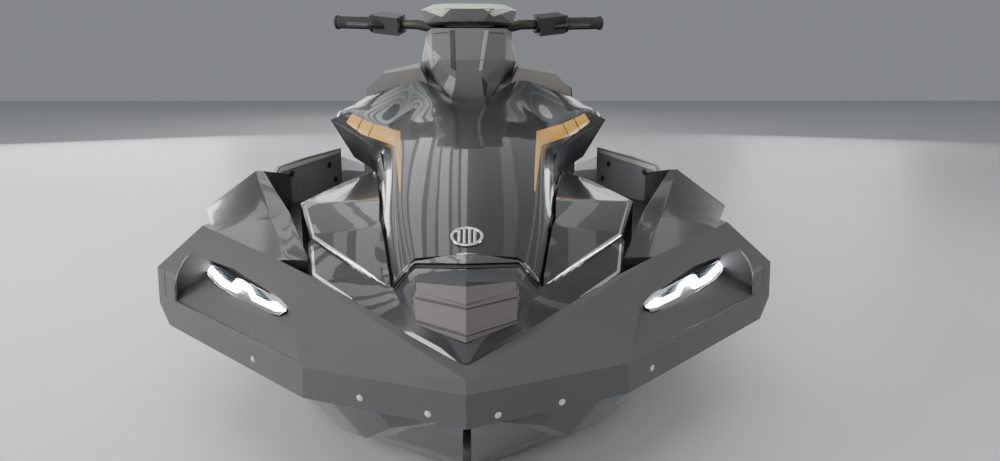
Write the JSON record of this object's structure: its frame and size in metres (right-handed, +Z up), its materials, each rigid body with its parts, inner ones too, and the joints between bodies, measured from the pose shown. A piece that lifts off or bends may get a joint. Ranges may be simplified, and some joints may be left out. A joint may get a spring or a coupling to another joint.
{
  "type": "personal watercraft",
  "caption": "Three-seat personal watercraft with a deep-V hull, faceted bow bumper with lamp recesses, handlebar steering, a bench seat and a water-jet drive.",
  "frame": {"origin": "on the floating waterline, on the centreline, at mid-length", "axes": "+Z up, bow towards -Y, +X to port"},
  "size_m": [1.195, 3.579, 1.153],
  "materials": {
    "hull_gelcoat": "gloss gelcoat",
    "deck_plastic": "satin moulded plastic",
    "grey_plastic": "fine-grained matte plastic",
    "gloss_black": "gloss paint",
    "black_plastic": "matte moulded plastic",
    "lamp_glass": "clear lens",
    "rubber": "soft grained rubber",
    "mat_foam": "ribbed foam mat",
    "vinyl": "stitched vinyl",
    "aluminium": "cast and anodised",
    "stainless": "polished stainless steel",
    "chrome_trim": "plated",
    "screen": "tinted display",
    "iron": "painted castings"
  },
  "bodies": {
    "craft": {"hull": "hull_gelcoat", "deck": "deck_plastic", "footwell_mats": "mat_foam", "platform_mat": "mat_foam", "bow_bumper": "grey_plastic", "chin_panel": "gloss_black", "vent_pad": "grey_plastic", "cheek_port": "gloss_black", "cheek_starboard": "gloss_black", "fairing_port": "gloss_black", "fairing_starboard": "gloss_black", "headlight_port": "lamp_glass", "headlight_starboard": "lamp_glass", "dash_cowl": "grey_plastic", "steering_shroud": "grey_plastic", "storage_bin": "black_plastic", "front_seat": "vinyl", "rear_seat": "vinyl", "engine_block": "iron", "jet_housing": "aluminium", "jet_outlet": "aluminium", "ride_plate": "aluminium", "intake_grate": "aluminium", "grab_handle": "stainless", "step_brackets": "stainless", "rub_rails": "rubber", "sponsons": "black_plastic", "bow_eye": "stainless", "stern_eyes": "stainless", "display": "screen", "splash_guards": "black_plastic"},
    "steering": {"steering_column": "aluminium", "handlebar": "aluminium", "bar_pad": "grey_plastic", "grip_port": "rubber", "grip_starboard": "rubber", "switch_port": "black_plastic", "switch_starboard": "black_plastic", "reverse_lever": "black_plastic", "throttle_lever": "black_plastic"},
    "front_hatch": {"hatch": "gloss_black", "emblem": "chrome_trim"},
    "glovebox": {"glovebox_lid": "grey_plastic"},
    "impeller": {"impeller": "stainless"},
    "jet_nozzle": {"steering_nozzle": "aluminium"},
    "bucket": {"reverse_bucket": "black_plastic"},
    "step": {"boarding_step": "stainless"}
  },
  "joints": [
    {"name": "steering", "type": "hinge", "parent": "craft", "child": "steering", "pos_m": [0, -0.522, 0.8], "axis": [0, 0.342, 0.9397], "range_deg": [-22, 22]},
    {"name": "nozzle_yaw", "type": "hinge", "parent": "craft", "child": "jet_nozzle", "pos_m": [0, 1.56, -0.158], "axis": [0, 0, 1], "range_deg": [-20, 20]},
    {"name": "reverse", "type": "hinge", "parent": "craft", "child": "bucket", "pos_m": [0, 1.51, -0.158], "axis": [-1, 0, 0], "range_deg": [0, 56]},
    {"name": "drive_shaft", "type": "hinge", "parent": "craft", "child": "impeller", "pos_m": [0, 1.226, -0.158], "axis": [0, 1, 0], "continuous": true},
    {"name": "hatch_hinge", "type": "hinge", "parent": "craft", "child": "front_hatch", "pos_m": [0, -0.716, 0.624], "axis": [-1, 0, 0], "range_deg": [0, 48]},
    {"name": "glovebox_hinge", "type": "hinge", "parent": "craft", "child": "glovebox", "pos_m": [0, -0.353, 0.67552], "axis": [1, 0, 0], "range_deg": [0, 80]},
    {"name": "step_hinge", "type": "hinge", "parent": "craft", "child": "step", "pos_m": [0, 1.65, 0.018], "axis": [-1, 0, 0], "range_deg": [0, 90]}
  ],
  "couplings": [
    {"joint": "nozzle_yaw", "follows": "steering", "ratio": -0.9}
  ]
}
